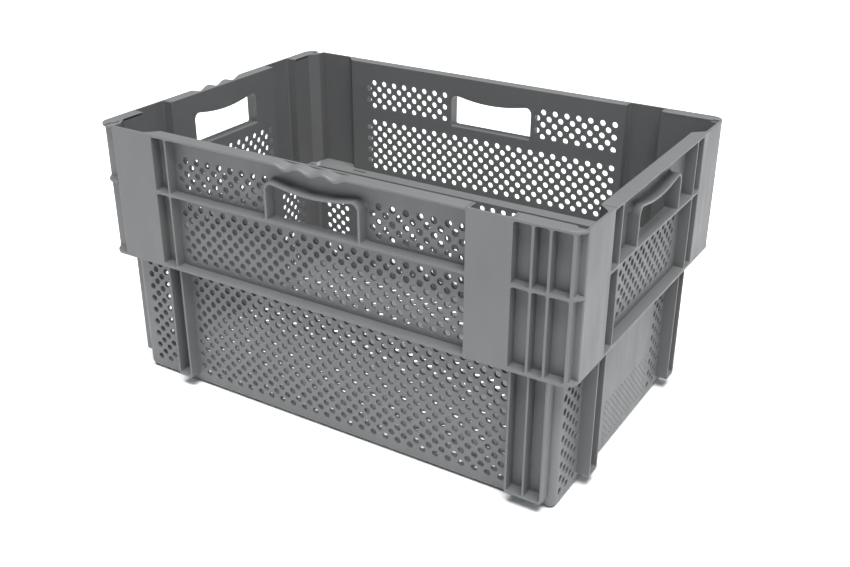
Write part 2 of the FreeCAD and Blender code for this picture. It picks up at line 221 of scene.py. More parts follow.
def slab(outline, holes, low, high, place, lowEdge=0.0, highEdge=0.0, steps=2,
         plainOutline=False):  # a flat piece cut to an outline, with openings and rounded edges
    loops = [turned(outline, True)] + [turned(hole, False) for hole in holes]
    levels = roundLevels(low, high, lowEdge, highEdge, steps)
    points, faces, firsts, cuts = [], [], [], []
    for depth, cut in levels:
        firsts.append(len(points))
        cuts.append([inset(loop, 0 if plainOutline and k == 0 else cut) for k, loop in enumerate(loops)])
        points += [place(a, b, depth) for loop in cuts[-1] for a, b in loop]
    for lower, upper in zip(firsts, firsts[1:]):
        offset = 0
        for loop in loops:
            for k in range(len(loop)):
                here, after = offset + k, offset + (k + 1) % len(loop)
                faces.append((lower + here, lower + after, upper + after, upper + here))
            offset += len(loop)
    for first, cutLoops in ((firsts[0], cuts[0]), (firsts[-1], cuts[-1])):
        faces += [tuple(first + k for k in three) for three in fill(cutLoops)]
    return points, faces


def sweep(rings, closed=False):  # a skin through rings of points, capped if it isn't a loop
    size = len(rings[0])
    points = [point for ring in rings for point in ring]
    faces = []
    for k in range(len(rings) if closed else len(rings) - 1):
        here, after = k * size, (k + 1) % len(rings) * size
        for n in range(size):
            m = (n + 1) % size
            faces.append((here + n, here + m, after + m, after + n))
    if not closed:
        faces.append(tuple(range(size)))
        faces.append(tuple((len(rings) - 1) * size + k for k in range(size)))
    return points, faces


def together(*solids):
    points, faces = [], []
    for morePoints, moreFaces in solids:
        first = len(points)
        points += morePoints
        faces += [tuple(first + k for k in face) for face in moreFaces]
    return points, faces


plasticLook = {
    "colour": (0.108, 0.108, 0.109),
    "paleColour": (0.126, 0.126, 0.127),
    "roughness": 0.5,
    "grainSize": 900.0,
    "grainDepth": 0.00003,
    "cloudSize": 14.0,
    "streakSize": 55.0,
}


def makePlastic(look):
    plastic = bpy.data.materials.new("cratePlastic")
    plastic.use_nodes = True
    tree = plastic.node_tree
    shader = tree.nodes["Principled BSDF"]
    place = tree.nodes.new("ShaderNodeTexCoord")

    def noise(scale, detail, stretch=(1, 1, 1)):
        mapping = tree.nodes.new("ShaderNodeMapping")
        mapping.inputs["Scale"].default_value = stretch
        tree.links.new(place.outputs["Object"], mapping.inputs["Vector"])
        node = tree.nodes.new("ShaderNodeTexNoise")
        node.inputs["Scale"].default_value = scale
        node.inputs["Detail"].default_value = detail
        tree.links.new(mapping.outputs["Vector"], node.inputs["Vector"])
        return node.outputs["Fac"]

    cloud = noise(look["cloudSize"], 3)
    streak = noise(look["streakSize"], 4, (1, 1, 0.25))
    grain = noise(look["grainSize"], 2)
    blend = tree.nodes.new("ShaderNodeMix")
    blend.data_type = "RGBA"
    blend.inputs["A"].default_value = (*look["colour"], 1)
    blend.inputs["B"].default_value = (*look["paleColour"], 1)
    tree.links.new(cloud, blend.inputs["Factor"])
    tree.links.new(blend.outputs["Result"], shader.inputs["Base Color"])
    spread = tree.nodes.new("ShaderNodeMapRange")
    spread.inputs["From Min"].default_value = 0.3
    spread.inputs["From Max"].default_value = 0.7
    spread.inputs["To Min"].default_value = look["roughness"] - 0.07
    spread.inputs["To Max"].default_value = look["roughness"] + 0.07
    tree.links.new(streak, spread.inputs["Value"])
    tree.links.new(spread.outputs["Result"], shader.inputs["Roughness"])
    bump = tree.nodes.new("ShaderNodeBump")
    bump.inputs["Strength"].default_value = 0.35
    bump.inputs["Distance"].default_value = look["grainDepth"]
    tree.links.new(grain, bump.inputs["Height"])
    tree.links.new(bump.outputs["Normal"], shader.inputs["Normal"])
    shader.inputs["Specular IOR Level"].default_value = 0.45
    return plastic


plastic = makePlastic(plasticLook)
pieces = []


def finishPiece(name, mesh, nodes, faceted):  # crisp edges, the plastic, and its place on the crate
    mesh.materials.clear()
    mesh.materials.append(plastic)
    mesh.shade_smooth()
    mesh.set_sharp_from_angle(angle=math.radians(12 if faceted else 32))
    piece = bpy.data.objects.new(name, mesh)
    bpy.context.scene.collection.objects.link(piece)
    even = piece.modifiers.new("even", "WEIGHTED_NORMAL")
    even.keep_sharp = True
    ready = bpy.data.meshes.new_from_object(piece.evaluated_get(bpy.context.evaluated_depsgraph_get()))
    ready.name = name
    piece.modifiers.clear()
    piece.data = ready
    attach(piece, "root")
    if nodes:
        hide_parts(*nodes)
    pieces.append(piece)
    return piece


def addPiece(name, solid, nodes=(), faceted=False):
    points, faces = solid
    mesh = bpy.data.meshes.new(name)
    mesh.from_pydata([Vector(p) * mm for p in points], [], faces)
    work = bmesh.new()
    work.from_mesh(mesh)
    bmesh.ops.recalc_face_normals(work, faces=work.faces)
    work.to_mesh(mesh)
    work.free()
    return finishPiece(name, mesh, nodes, faceted)


def sheetTree():
    tree = bpy.data.node_groups.new("perforatedSheet", "GeometryNodeTree")
    sockets = {}

    def need(name, kind, value=None):
        socket = tree.interface.new_socket(name, in_out="INPUT", socket_type=kind)
        if value is not None:
            socket.default_value = value
        sockets[name] = socket.identifier

    need("sheet middle", "NodeSocketVector")
    need("sheet width", "NodeSocketFloat", 0.1)
    need("sheet height", "NodeSocketFloat", 0.1)
    need("field middle", "NodeSocketVector")
    need("columns", "NodeSocketInt", 4)
    need("rows", "NodeSocketInt", 4)
    need("odd start", "NodeSocketInt", 0)
    need("column step", "NodeSocketFloat", 0.008)
    need("row step", "NodeSocketFloat", 0.008)
    need("hole radius", "NodeSocketFloat", 0.00375)
    need("edge round", "NodeSocketFloat", 0.0004)
    need("thickness", "NodeSocketFloat", 0.003)
    need("plastic", "NodeSocketMaterial")
    tree.interface.new_socket("Geometry", in_out="OUTPUT", socket_type="NodeSocketGeometry")
    given = tree.nodes.new("NodeGroupInput").outputs
    result = tree.nodes.new("NodeGroupOutput")

    def node(kind, links=None, **settings):
        made = tree.nodes.new(kind)
        for key, value in settings.items():
            setattr(made, key, value)
        for key, value in (links or {}).items():
            if hasattr(value, "is_output"):
                tree.links.new(value, made.inputs[key])
            else:
                made.inputs[key].default_value = value
        return made

    def sums(kind, first, second=0.0):
        return node("ShaderNodeMath", {0: first, 1: second}, operation=kind).outputs[0]

    fieldWidth = sums("MULTIPLY", sums("SUBTRACT", given["columns"], 1.0), given["column step"])
    fieldHeight = sums("MULTIPLY", sums("SUBTRACT", given["rows"], 1.0), given["row step"])
    grid = node("GeometryNodeMeshGrid", {
        "Vertices X": given["columns"], "Vertices Y": given["rows"],
        "Size X": fieldWidth, "Size Y": fieldHeight,
    })
    number = node("GeometryNodeInputIndex").outputs[0]
    column = sums("FLOOR", sums("DIVIDE", sums("ADD", number, 0.5), given["rows"]))
    row = sums("SUBTRACT", number, sums("MULTIPLY", column, given["rows"]))
    count = sums("ADD", sums("ADD", column, row), given["odd start"])
    odd = sums("GREATER_THAN", sums("FLOORED_MODULO", sums("ADD", count, 0.5), 2.0), 1.0)
    thinned = node("GeometryNodeDeleteGeometry", {
        "Geometry": grid.outputs["Mesh"], "Selection": odd,
    }, domain="POINT")
    centres = node("GeometryNodeTransform", {
        "Geometry": thinned.outputs[0], "Translation": given["field middle"],
    }).outputs[0]
    outerRadius = sums("ADD", given["hole radius"], given["edge round"])
    deep = sums("MULTIPLY", given["thickness"], -1.0)

    def lifted(geometry, height):
        shift = node("ShaderNodeCombineXYZ", {"Z": height}).outputs[0]
        return node("GeometryNodeTransform", {"Geometry": geometry, "Translation": shift}).outputs[0]

    rectangle = node("GeometryNodeCurvePrimitiveQuadrilateral", {
        "Width": given["sheet width"], "Height": given["sheet height"],
    }).outputs[0]
    frameCurve = node("GeometryNodeTransform", {
        "Geometry": rectangle, "Translation": given["sheet middle"],
    }).outputs[0]

    def skin(radius):
        circle = node("GeometryNodeCurvePrimitiveCircle", {"Resolution": 16, "Radius": radius}).outputs[0]
        rings = node("GeometryNodeInstanceOnPoints", {"Points": centres, "Instance": circle}).outputs[0]
        real = node("GeometryNodeRealizeInstances", {"Geometry": rings}).outputs[0]
        joined = node("GeometryNodeJoinGeometry")
        tree.links.new(real, joined.inputs[0])
        tree.links.new(frameCurve, joined.inputs[0])
        return node("GeometryNodeFillCurve", {"Curve": joined.outputs[0]}).outputs[0]

    outer = skin(outerRadius)
    inner = lifted(skin(given["hole radius"]), deep)
    lip = node("GeometryNodeMeshCone", {
        "Vertices": 16, "Radius Top": outerRadius, "Radius Bottom": given["hole radius"],
        "Depth": given["edge round"],
    }, fill_type="NONE").outputs[0]
    lip = lifted(lip, sums("MULTIPLY", given["edge round"], -1.0))
    tubeLength = sums("SUBTRACT", given["thickness"], given["edge round"])
    tube = node("GeometryNodeMeshCylinder", {
        "Vertices": 16, "Radius": given["hole radius"], "Depth": tubeLength,
    }, fill_type="NONE").outputs[0]
    halfTube = sums("MULTIPLY", tubeLength, -0.5)
    tube = lifted(tube, sums("SUBTRACT", halfTube, given["edge round"]))
    liner = node("GeometryNodeJoinGeometry")
    tree.links.new(lip, liner.inputs[0])
    tree.links.new(tube, liner.inputs[0])
    liners = node("GeometryNodeInstanceOnPoints", {
        "Points": centres, "Instance": liner.outputs[0],
    }).outputs[0]
    plain = node("GeometryNodeFillCurve", {"Curve": frameCurve}).outputs[0]
    downward = node("ShaderNodeCombineXYZ", {"Z": -1.0}).outputs[0]
    border = node("GeometryNodeExtrudeMesh", {
        "Mesh": plain, "Offset": downward, "Offset Scale": given["thickness"], "Individual": False,
    })
    sidesOnly = node("GeometryNodeDeleteGeometry", {
        "Geometry": border.outputs["Mesh"], "Selection": border.outputs["Top"],
    }, domain="FACE").outputs[0]
    everything = node("GeometryNodeJoinGeometry")
    for geometry in (outer, inner, liners, sidesOnly):
        tree.links.new(geometry, everything.inputs[0])
    real = node("GeometryNodeRealizeInstances", {"Geometry": everything.outputs[0]}).outputs[0]
    welded = node("GeometryNodeMergeByDistance", {"Geometry": real, "Distance": 0.000002}).outputs[0]
    coated = node("GeometryNodeSetMaterial", {"Geometry": welded, "Material": given["plastic"]}).outputs[0]
    tree.links.new(coated, result.inputs[0])
    return tree, sockets


perforated, sheetSockets = sheetTree()


def holeSheet(side, low, high, out, field, thickness=None, edge=0.4):  # corners are (along, up)
    columnStep, rowStep = field.get("steps", (8.0, 8.0))
    thickness = thickness or wall
    fieldMiddle = (
        field["first"][0] + (field["columns"] - 1) * columnStep / 2,
        field["first"][1] + (field["rows"] - 1) * rowStep / 2,
        0,
    )
    middle = ((low[0] + high[0]) / 2, (low[1] + high[1]) / 2, 0)
    holder = bpy.data.objects.new("sheetInWork", bpy.data.meshes.new("sheetInWork"))
    bpy.context.scene.collection.objects.link(holder)
    modifier = holder.modifiers.new("perforated", "NODES")
    modifier.node_group = perforated
    values = {
        "sheet middle": [c * mm for c in middle],
        "sheet width": (high[0] - low[0]) * mm,
        "sheet height": (high[1] - low[1]) * mm,
        "field middle": [c * mm for c in fieldMiddle],
        "columns": field["columns"],
        "rows": field["rows"],
        "odd start": field["odd"],
        "column step": columnStep * mm,
        "row step": rowStep * mm,
        "hole radius": field.get("radius", 3.75) * mm,
        "edge round": edge * mm,
        "thickness": thickness * mm,
        "plastic": plastic,
    }
    for name, value in values.items():
        modifier[sheetSockets[name]] = value
    holder.update_tag()
    made = bpy.data.meshes.new_from_object(holder.evaluated_get(bpy.context.evaluated_depsgraph_get()))
    points = [at(side, v.co.x / mm, v.co.y / mm, out + v.co.z / mm) for v in made.vertices]
    faces = [tuple(p.vertices) for p in made.polygons]
    bpy.data.objects.remove(holder)
    bpy.data.meshes.remove(made)
    return points, faces


print("toolkit ready")

collarFields = {
    "upperRight": {"first": (67.3, 261.0), "columns": 14, "rows": 5, "odd": 1},
    "upperLeft": {"first": (-188.7, 261.0), "columns": 16, "rows": 5, "odd": 1},
    "middle": {"first": (-188.7, 173.4), "columns": 46, "rows": 9, "odd": 1},
    "rightEnd": {"first": (-65.1, 176.6), "columns": 20, "rows": 8, "odd": 0},
    "leftEnd": {"first": (-84.7, 172.6), "columns": 22, "rows": 9, "odd": 1},
}
handleReach = handleHalf + wall


def addGrille(name, side, low, high, field, node):
    sheet = holeSheet(side, low, high, collarOut + extraOf(side), collarFields[field])
    addPiece(name, sheet, [node])


for side in ("front", "back"):
    collar = side + "_collar_"
    upperStart, middleStart = (handleReach, splitHeight), (leftPlateEnd, shelfTop)
    addGrille(side + "RightGrille", side, upperStart, (rightPlateStart, rimLow), "upperRight",
              collar + "right_grille")
    addGrille(side + "LeftGrille", side, (leftPlateEnd, splitHeight), (-handleReach, rimLow), "upperLeft",
              collar + "left_grille")
    addGrille(side + "MiddleGrille", side, middleStart, (rightPlateStart, splitHeight), "middle",
              collar + "mid_grille")
addGrille("rightEndGrille", "right", (-rightEndPlate, shelfTop), (rightEndPlate, splitHeight), "rightEnd",
          "right_collar_mid_grille")
addGrille("leftEndGrille", "left", (-leftEndPlateStart, shelfTop), (leftEndPlateStart, splitHeight),
          "leftEnd", "left_collar_mid_grille")
print("collar grilles")

wellFields = {
    "leftStrip": {"first": (-260.7, 18.4), "columns": 5, "rows": 17, "odd": 0, "steps": (8.0, 8.13)},
    "main": {"first": (-188.7, 18.4), "columns": 52, "rows": 17, "odd": 1, "steps": (8.0, 8.13)},
    "rightNear": {"first": (-168.4, 17.5), "columns": 5, "rows": 17, "odd": 0},
    "rightInner": {"first": (76.5, 17.5), "columns": 4, "rows": 17, "odd": 0},
    "rightOuter": {"first": (132.5, 17.5), "columns": 5, "rows": 17, "odd": 1},
    "leftFar": {"first": (98.7, 22.6), "columns": 6, "rows": 17, "odd": 0},
    "leftNear": {"first": (-138.7, 22.6), "columns": 6, "rows": 17, "odd": 1},
    "label": {
        "first": (-58.0, 17.0), "columns": 30, "rows": 12, "odd": 0, "steps": (4.2, 4.2), "radius": 1.0,
    },
    "floor": {
        "first": (-264.0, -168.0), "columns": 45, "rows": 29, "odd": 0, "steps": (12.0, 12.0), "radius": 5.0,
    },
}
wellRadius = 8.0
baseHeight = 8.0
wellFlat = wellOut + lengthExtra - wellRadius
wellEndFlat = wellOut - wellRadius
wellEndOut = wellOut + lengthExtra


def wellSheet(side, start, end, field):
    return holeSheet(side, (start, baseHeight), (end, wellTop), wellOut + extraOf(side), wellFields[field])


columnMiddle = (nodeBox("front_left_column")[0][0] + nodeBox("front_left_column")[1][0]) / 2
for side in ("front", "back"):
    strip = wellSheet(side, -wellFlat, columnMiddle, "leftStrip")
    main = wellSheet(side, columnMiddle, wellFlat, "main")
    addPiece(side + "Well", together(strip, main), [side + "_well_wall"])
labelLow = -rightPocketRib
labelHigh = nodeBox("right_label_panel")[1][1]
addPiece("rightWellNear", wellSheet("right", -wellEndFlat, labelLow, "rightNear"), ["right_near_well_wall"])
columnMiddle = (rightPocketRib + rightEndPlate) / 2
innerStrip = wellSheet("right", labelHigh, columnMiddle, "rightInner")
outerStrip = wellSheet("right", columnMiddle, wellEndFlat, "rightOuter")
addPiece("rightWellFar", together(innerStrip, outerStrip), ["right_far_well_wall"])
labelLook = {"dimpleDepth": 0.6, "dimpleEdge": 0.2}
dimples = labelLook["dimpleDepth"]
labelSkin = holeSheet("right", (labelLow, baseHeight), (labelHigh, wellTop), wellEndOut,
                      wellFields["label"], dimples, labelLook["dimpleEdge"])
labelOutline = [(labelLow, baseHeight), (labelHigh, baseHeight), (labelHigh, wellTop), (labelLow, wellTop)]
labelBack = slab(labelOutline, [], wellEndOut - wall, wellEndOut - dimples,
                 lambda a, b, d: at("right", a, b, d))
addPiece("labelPanel", together(labelSkin, labelBack), ["right_label_panel"])
nearHalf = wellSheet("left", -wellEndFlat, 0, "leftNear")
farHalf = wellSheet("left", 0, wellEndFlat, "leftFar")
addPiece("leftWell", together(nearHalf, farHalf), ["left_well_wall"])
print("well walls")


def cornerRadius(out, outerRadius=15.0):
    if out <= wellOut:
        return wellRadius + out - wellOut
    return wellRadius + (out - wellOut) * (outerRadius - wellRadius) / (halfWidth - wellOut)


def roundTheCrate(profile, steps=8):  # carries (out, up) points round the crate
    rings = []
    for number, (sx, sy) in enumerate(((1, -1), (1, 1), (-1, 1), (-1, -1))):
        for s in range(steps + 1):
            turn = math.pi / 2 * (number - 1 + s / steps)
            ring = []
            for out, up in profile:
                radius = cornerRadius(out)
                x = sx * (out + lengthExtra - radius) + radius * math.cos(turn)
                y = sy * (out - radius) + radius * math.sin(turn)
                ring.append((x, y, up))
            rings.append(ring)
    return sweep(rings, True)


def arcPoints(middle, radius, start, end, steps=4):
    points = []
    for s in range(steps + 1):
        turn = math.radians(start + (end - start) * s / steps)
        points.append((middle[0] + radius * math.cos(turn), middle[1] + radius * math.sin(turn)))
    return points


shelfOut = halfWidth - 0.12
shelfProfile = [(wellIn, wellTop), (wellOut, wellTop)]
shelfProfile += arcPoints((wellOut + 2, shelfLow - 2), 2, 180, 90, 3)
shelfProfile += arcPoints((shelfOut - 0.9, shelfLow + 0.9), 0.9, -90, 0, 3)
shelfProfile += arcPoints((shelfOut - 0.9, shelfTop - 0.9), 0.9, 0, 90, 3)
shelfProfile += [(collarIn, shelfTop)]
addPiece("shoulderRing", roundTheCrate(shelfProfile),
         ["front_shoulder", "back_shoulder", "left_shoulder", "right_shoulder"])

baseLook = {"round": 8.0, "insideRound": 1.6, "width": 9.0}
baseIn = wellOut - baseLook["width"]
baseProfile = [(wellIn, baseHeight)]
baseProfile += arcPoints((wellIn - 1.6, floorTop + 1.6), 1.6, 0, -90, 3)
baseProfile += [(baseIn, floorTop), (baseIn, 0)]
baseProfile += arcPoints((wellOut - baseLook["round"], baseLook["round"]), baseLook["round"], -90, 0, 5)
baseProfile += [(wellOut, baseHeight)]
addPiece("baseRing", roundTheCrate(baseProfile), [])
floorSheet = holeSheet("front", (-baseIn - lengthExtra, -baseIn), (baseIn + lengthExtra, baseIn), floorTop,
                       wellFields["floor"])
addPiece("floorSheet", ([(x, z, -y) for x, y, z in floorSheet[0]], floorSheet[1]), ["floor"])

wellPosts = (("front_right", 1, -1), ("back_right", 1, 1), ("back_left", -1, 1), ("front_left", -1, -1))
for name, sx, sy in wellPosts:
    outerArc = arcPoints((0, 0), wellRadius, 0, 90, 8)
    innerArc = arcPoints((0, 0), wellRadius - wall, 90, 0, 8)
    middle = (sx * wellFlat, sy * wellEndFlat)
    plan = [(middle[0] + sx * a, middle[1] + sy * b) for a, b in outerArc + innerArc]
    post = slab(plan, [], baseHeight, wellTop, lambda a, b, d: (a, b, d))
    addPiece(name + "Post", post, [name + "_well_post"])
print("rings, floor and corners of the well")


columnLook = {"footRound": 3.0, "cellRound": 2.5, "edge": 0.7}


def stackingColumn(side, start, end, ribs):
    look = columnLook
    extra = extraOf(side)
    outline = soft([
        (start, footLow, look["footRound"]), (end, footLow, look["footRound"]),
        (end, shelfLow + 2, 0), (start, shelfLow + 2, 0),
    ])
    pitch = (end - start - ribThick) / (ribs - 1)
    cells = []
    for k in range(ribs - 1):
        low = start + k * pitch + ribThick
        high = start + (k + 1) * pitch
        cells.append(softBox(low, footLow + wall, high, shelfLow - 0.1, look["cellRound"]))
    return slab(outline, cells, wellOut + extra, columnOut + extra, lambda a, b, d: at(side, a, b, d), 0,
                look["edge"])


def addColumn(side, hand, axis, ribs):
    node = side + "_" + hand + "_column"
    low, high = nodeBox(node)
    addPiece(side + hand.title() + "Column", stackingColumn(side, low[axis], high[axis], ribs), [node])


for side in ("front", "back"):
    for hand, ribs in (("left", 2), ("right", 3)):
        addColumn(side, hand, 0, ribs)
for side in ("left", "right"):
    for hand in ("near", "far"):
        addColumn(side, hand, 1, 2)
print("stacking columns")

handleLook = {"top": 295.0, "middle": 289.0, "corner": 8.0, "edge": 0.7, "cove": 3.5}
scoopLook = {"pitch": 31.0, "count": 3, "depth": 4.5, "innerShare": 0.4}
ribLook = {"cellRound": 2.5, "edge": 0.6}


def handleArch(spread):  # from lower right, over the top, to lower left
    half = handleHalf + spread
    corner = handleLook["corner"] + spread
    top = handleLook["top"] + spread
    dip = handleLook["top"] - handleLook["middle"]
    inner = half - corner
    arch = arcPoints((inner, top - corner), corner, 0, 78, 5)
    steps = 14
    for k in range(1, steps):
        share = 1 - 2 * k / steps
        arch.append((inner * share, top - dip * (1 - share * share)))
    arch += arcPoints((-inner, top - corner), corner, 102, 180, 5)
    return arch


def handleHole():
    low = midRibHigh
    corners = [(-handleHalf, low, 2), (handleHalf, low, 2)]
    corners += [(a, b, 0) for a, b in handleArch(0)]
    return soft(corners)


def scoopDip(along, out, reach):
    half = scoopLook["pitch"] * scoopLook["count"] / 2
    if abs(along) >= half:
        return 0
    wave = (1 - math.cos(2 * math.pi * (along + half) / scoopLook["pitch"])) / 2
    inner = reach - (halfWidth - collarOut)
    share = (out - inner) / (reach - inner)
    if share < 0:
        return 0
    return scoopLook["depth"] * wave * (scoopLook["innerShare"] + (1 - scoopLook["innerShare"]) * share)


def ribFrame(side, start, end, uprights, scooped):  # uprights, the middle rib and the lip
    reach = reachOf(side)
    radius = ribLook["cellRound"]
    low, high = pocketLow, pocketHigh
    frameStart, frameEnd = start - frameLap, end + frameLap
    outline = [(frameStart, frameLow), (frameEnd, frameLow), (frameEnd, frameHigh), (frameStart, frameHigh)]
    edges = [start + cellGap] + [e for pair in uprights for e in pair] + [end - cellGap]
    cells = []
    for left, right in zip(edges[0::2], edges[1::2]):
        cells.append(softBox(left, low, right, midRibLow, radius))
        if left < 0 < right:
            corners = [(left, midRibHigh, radius), (-handleReach, midRibHigh, 3)]
            corners += [(a, b, 0) for a, b in handleArch(wall)[::-1]]
            corners += [(handleReach, midRibHigh, 3), (right, midRibHigh, radius)]
            corners += [(right, high, radius), (left, high, radius)]
            cells.append(soft(corners))
        else:
            cells.append(softBox(left, midRibHigh, right, high, radius))
    cells.append(handleHole())
    if scooped:
        outline = finer(outline, -50, 50, 2)
        cells = [finer(cell, -50, 50, 2) if max(b for a, b in cell) > high - 1 else cell for cell in cells]

    def place(a, b, d):
        if scooped and b > high - 1:
            b -= scoopDip(a, d, reach)
        return at(side, a, b, d)

    return slab(outline, cells, reach - halfWidth + collarOut, reach - setBack, place, 0, ribLook["edge"])


def handleWall(side, half):
    out = collarOut + extraOf(side)
    outline = [(-half, splitHeight), (half, splitHeight), (half, rimLow), (-half, rimLow)]
    return slab(outline, [handleHole()], out - wall, out, lambda a, b, d: at(side, a, b, d),
                handleLook["edge"], 0, plainOutline=True)


def handleCove(side):  # the soft fillet between the lip and the wall
    face = collarOut + extraOf(side)
    arch = handleArch(wall)
    size = handleLook["cove"]
    rings = []
    for k in range(1, len(arch) - 1):
        run = Vector(arch[k + 1]) - Vector(arch[k - 1])
        away = Vector((run.y, -run.x)).normalized()
        ring = [(-0.5, -0.5), (size, -0.5)]
        for s in range(6):
            turn = math.pi / 2 * s / 5
            ring.append((size - size * math.sin(turn), size - size * math.cos(turn)))
        ring += [(-0.5, size)]
        foot = arch[k]
        rings.append([at(side, foot[0] + away.x * n, foot[1] + away.y * n, face + o) for n, o in ring])
    return sweep(rings)


for side in ("front", "back"):
    addPiece(side + "HandleWall", handleWall(side, handleReach), [side + "_handle"])
    uprights = [(pocketRibEnd - ribThick, pocketRibEnd)]
    ribs = ribFrame(side, leftPlateEnd, rightPlateStart, uprights, side == "front")
    addPiece(side + "Ribs", together(ribs, handleCove(side)), [side + "_mid_rib", side + "_pocket_rib"])
addPiece("rightHandleWall", handleWall("right", rightEndPlate), ["right_handle"])
rightUprights = [(-rightPocketRib - ribThick, -rightPocketRib), (rightPocketRib, rightPocketRib + ribThick)]
ribs = ribFrame("right", -rightEndPlate, rightEndPlate, rightUprights, False)
addPiece("rightRibs", together(ribs, handleCove("right")),
         ["right_mid_rib", "right_far_pocket_rib", "right_near_pocket_rib"])
addPiece("leftHandleWall", handleWall("left", leftEndPlateStart), ["left_handle"])
ribs = ribFrame("left", -leftEndPlateStart, leftEndPlateStart, [], True)
addPiece("leftRibs", together(ribs, handleCove("left")), ["left_mid_rib"])
print("handles and ribs")

plateLook = {
    "low": shelfLow + 0.15,
    "top": rimTop - 0.1,
    "edge": 0.6,
    "outerRound": 1.2,
    "innerRound": 2.0,
    "slant": 12.0,
    "slantThick": 7.8,
}


def platePrism(side, corners):
    look = plateLook
    return slab(soft(corners), [], look["low"], look["top"], lambda a, b, d: at(side, a, d, b),
                look["edge"], look["edge"])


def slantedPlate(side, edge, far, toward):  # a corner plate whose end leans back to the wall
    look = plateLook
    reach = reachOf(side)
    inner = reach - halfWidth + plateIn
    back = reach - halfWidth + collarIn
    face = reach - halfWidth + collarOut
    s = toward
    thick = look["slantThick"]
    corners = [
        (far, reach, 1.5), (edge, reach, look["outerRound"]), (edge, inner + 0.2, 0.8),
        (edge - s * thick, inner + 0.1, 1.0), (edge, face, 2.0), (edge + s * 6, face - 0.05, 0),
        (edge + s * 6, back + 0.05, 0), (edge, back + 0.05, 5.0), (edge - s * look["slant"], inner, 7.0),
        (far, inner, 0),
    ]
    return platePrism(side, corners)


def foldedPlate(side, start, end):
    look = plateLook
    reach = reachOf(side)
    inner = reach - halfWidth + plateIn
    back = reach - halfWidth + collarIn
    corners = [
        (start, back, 0), (start, reach, look["outerRound"]), (end, reach, look["outerRound"]),
        (end, back, 0), (end - wall, back, 0), (end - wall, inner, look["innerRound"]),
        (start + wall, inner, look["innerRound"]), (start + wall, back, 0),
    ]
    return platePrism(side, corners)


leftPlateFar = nodeBox("front_left_plate")[0][0]
for side in ("front", "back"):
    addPiece(side + "LeftPlate", slantedPlate(side, leftPlateEnd, leftPlateFar, 1), [side + "_left_plate"])
    addPiece(side + "RightPlate", foldedPlate(side, rightPlateStart, rightPlateEnd), [side + "_right_plate"])
addPiece("rightFarPlate", slantedPlate("right", rightEndPlate, collarOut, -1), ["right_far_plate"])
addPiece("rightNearPlate", slantedPlate("right", -rightEndPlate, -collarOut, 1), ["right_near_plate"])
addPiece("leftFarPlate", foldedPlate("left", leftEndPlateStart, leftEndPlateEnd), ["left_far_plate"])
addPiece("leftNearPlate", foldedPlate("left", -leftEndPlateEnd, -leftEndPlateStart), ["left_near_plate"])
print("plates")

cornerLook = {
    "ribThick": 3.0,
    "cellRound": 2.5,
    "edge": 0.6,
    "foldLength": 12.5,
    "foldDepth": 9.5,
    "foldFlat": 10.0,
}
outerCorner = 15.0


def ribbedCorner(side, start, ribs, sign):  # sign gives the end of the side that it is on
    reach = reachOf(side)
    other = halfLength + halfWidth - reach
    bend = other - outerCorner
    face = reach - halfWidth + collarOut
    low, high = pocketLow, pocketHigh
    look = cornerLook
    last = other - 0.2
    edges = [start + cellGap] + [e for rib in ribs for e in (rib, rib + look["ribThick"])]
    radius = look["cellRound"]
    foldEnd = other - wall - look["foldFlat"]
    foldStart = foldEnd - look["foldLength"]

    def folded(a, lean=0.0):  # how far the wall behind has folded inward
        if side != "left":
            return 0
        return look["foldDepth"] * min(max((a - foldStart - lean) / look["foldLength"], 0), 1)

    cells = []
    for left, right in zip(edges[0::2], edges[1::2]):
        for bottom, top in ((low, midRibLow), (midRibHigh, high)):
            cells.append(finer(softBox(left, bottom, right, top, radius), foldStart, foldEnd, 3))
    end = edges[-1]
    outline = soft([
        (start - frameLap, frameLow, 0), (last, frameLow, 0), (last, low, 0), (end, low, radius),
        (end, midRibLow, radius), (last, midRibLow, 0), (last, midRibHigh, 0), (end, midRibHigh, radius),
        (end, high, radius), (last, high, 0), (last, frameHigh, 0), (start - frameLap, frameHigh, 0),
    ])
    outline = finer(outline, min(bend, foldStart), other, 1.5)

    def outerEdge(a):
        if a <= bend:
            return reach - setBack
        arc = math.sqrt(max(outerCorner ** 2 - (a - bend) ** 2, 0))
        return max(reach - outerCorner + arc - setBack, face + 0.4)

    def place(a, b, d):
        share = (d - face) / (reach - setBack - face)
        back = face - folded(a, wall / 2)
        return at(side, sign * a, b, back + share * (outerEdge(a) - back))

    lattice = slab(outline, cells, face, reach - setBack, place, 0, look["edge"])
    end, inner, depth = other - wall + 0.1, face - wall, look["foldDepth"]
    if side != "left":
        back = [(start, shelfTop), (end, shelfTop), (end, rimLow), (start, rimLow)]
        return together(lattice, slab(back, [], inner, face, lambda a, b, d: at(side, sign * a, b, d)))
    plan = soft([
        (start, inner, 0), (foldStart, inner, 2.0), (foldEnd, inner - depth, 1.5), (end, inner - depth, 0),
        (end, face - depth, 0), (foldEnd + wall / 2, face - depth, 1.5), (foldStart + wall / 2, face, 2.0),
        (start, face, 0),
    ])
    wallSolid = slab(plan, [], shelfTop - 1, rimTop - 0.3, lambda a, b, d: at(side, sign * a, d, b))
    return together(lattice, wallSolid)


frontRibs = [rightPlateEnd + run for run in (18.7, 36.6, 59.2)]
leftRibs = [leftEndPlateEnd + 21.5, leftEndPlateEnd + 40.0]
leftCorners = {"front": -1, "back": 1}


